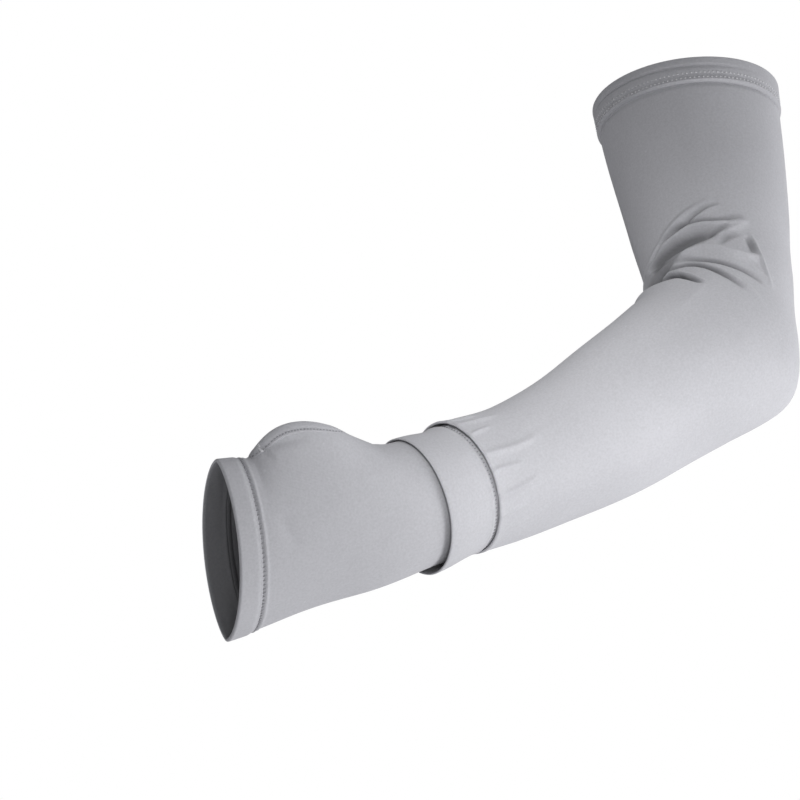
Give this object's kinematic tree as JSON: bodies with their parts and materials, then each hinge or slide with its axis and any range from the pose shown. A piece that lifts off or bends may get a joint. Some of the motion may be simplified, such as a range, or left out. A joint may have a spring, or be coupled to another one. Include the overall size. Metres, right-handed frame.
{
  "type": "arm sleeve",
  "caption": "Bent, hollow knit arm sleeve with an upper hem, an over-cuff at the wrist and a hand cover with a thumb hole.",
  "frame": {"origin": "middle of the upper-arm opening, in the plane of its rim", "axes": "+Z points out of the upper-arm opening along the upper arm; the bent elbow sends the forearm toward -X and -Z; the hand also swings toward -Y, the side that shows best"},
  "size_m": [0.3373, 0.1508, 0.322],
  "materials": {
    "upper_hem_knit": "fine smooth knit, turned and stitched",
    "arm_knit": "fine smooth stretch knit",
    "band_knit": "fine smooth stretch knit",
    "hand_knit": "fine smooth stretch knit",
    "hand_hem_knit": "fine smooth knit, turned and stitched"
  },
  "bodies": {
    "root": {"upper_hem": "upper_hem_knit", "arm_tube": "arm_knit", "wrist_band": "band_knit", "hand_cover": "hand_knit", "hand_hem": "hand_hem_knit"}
  },
  "joints": []
}
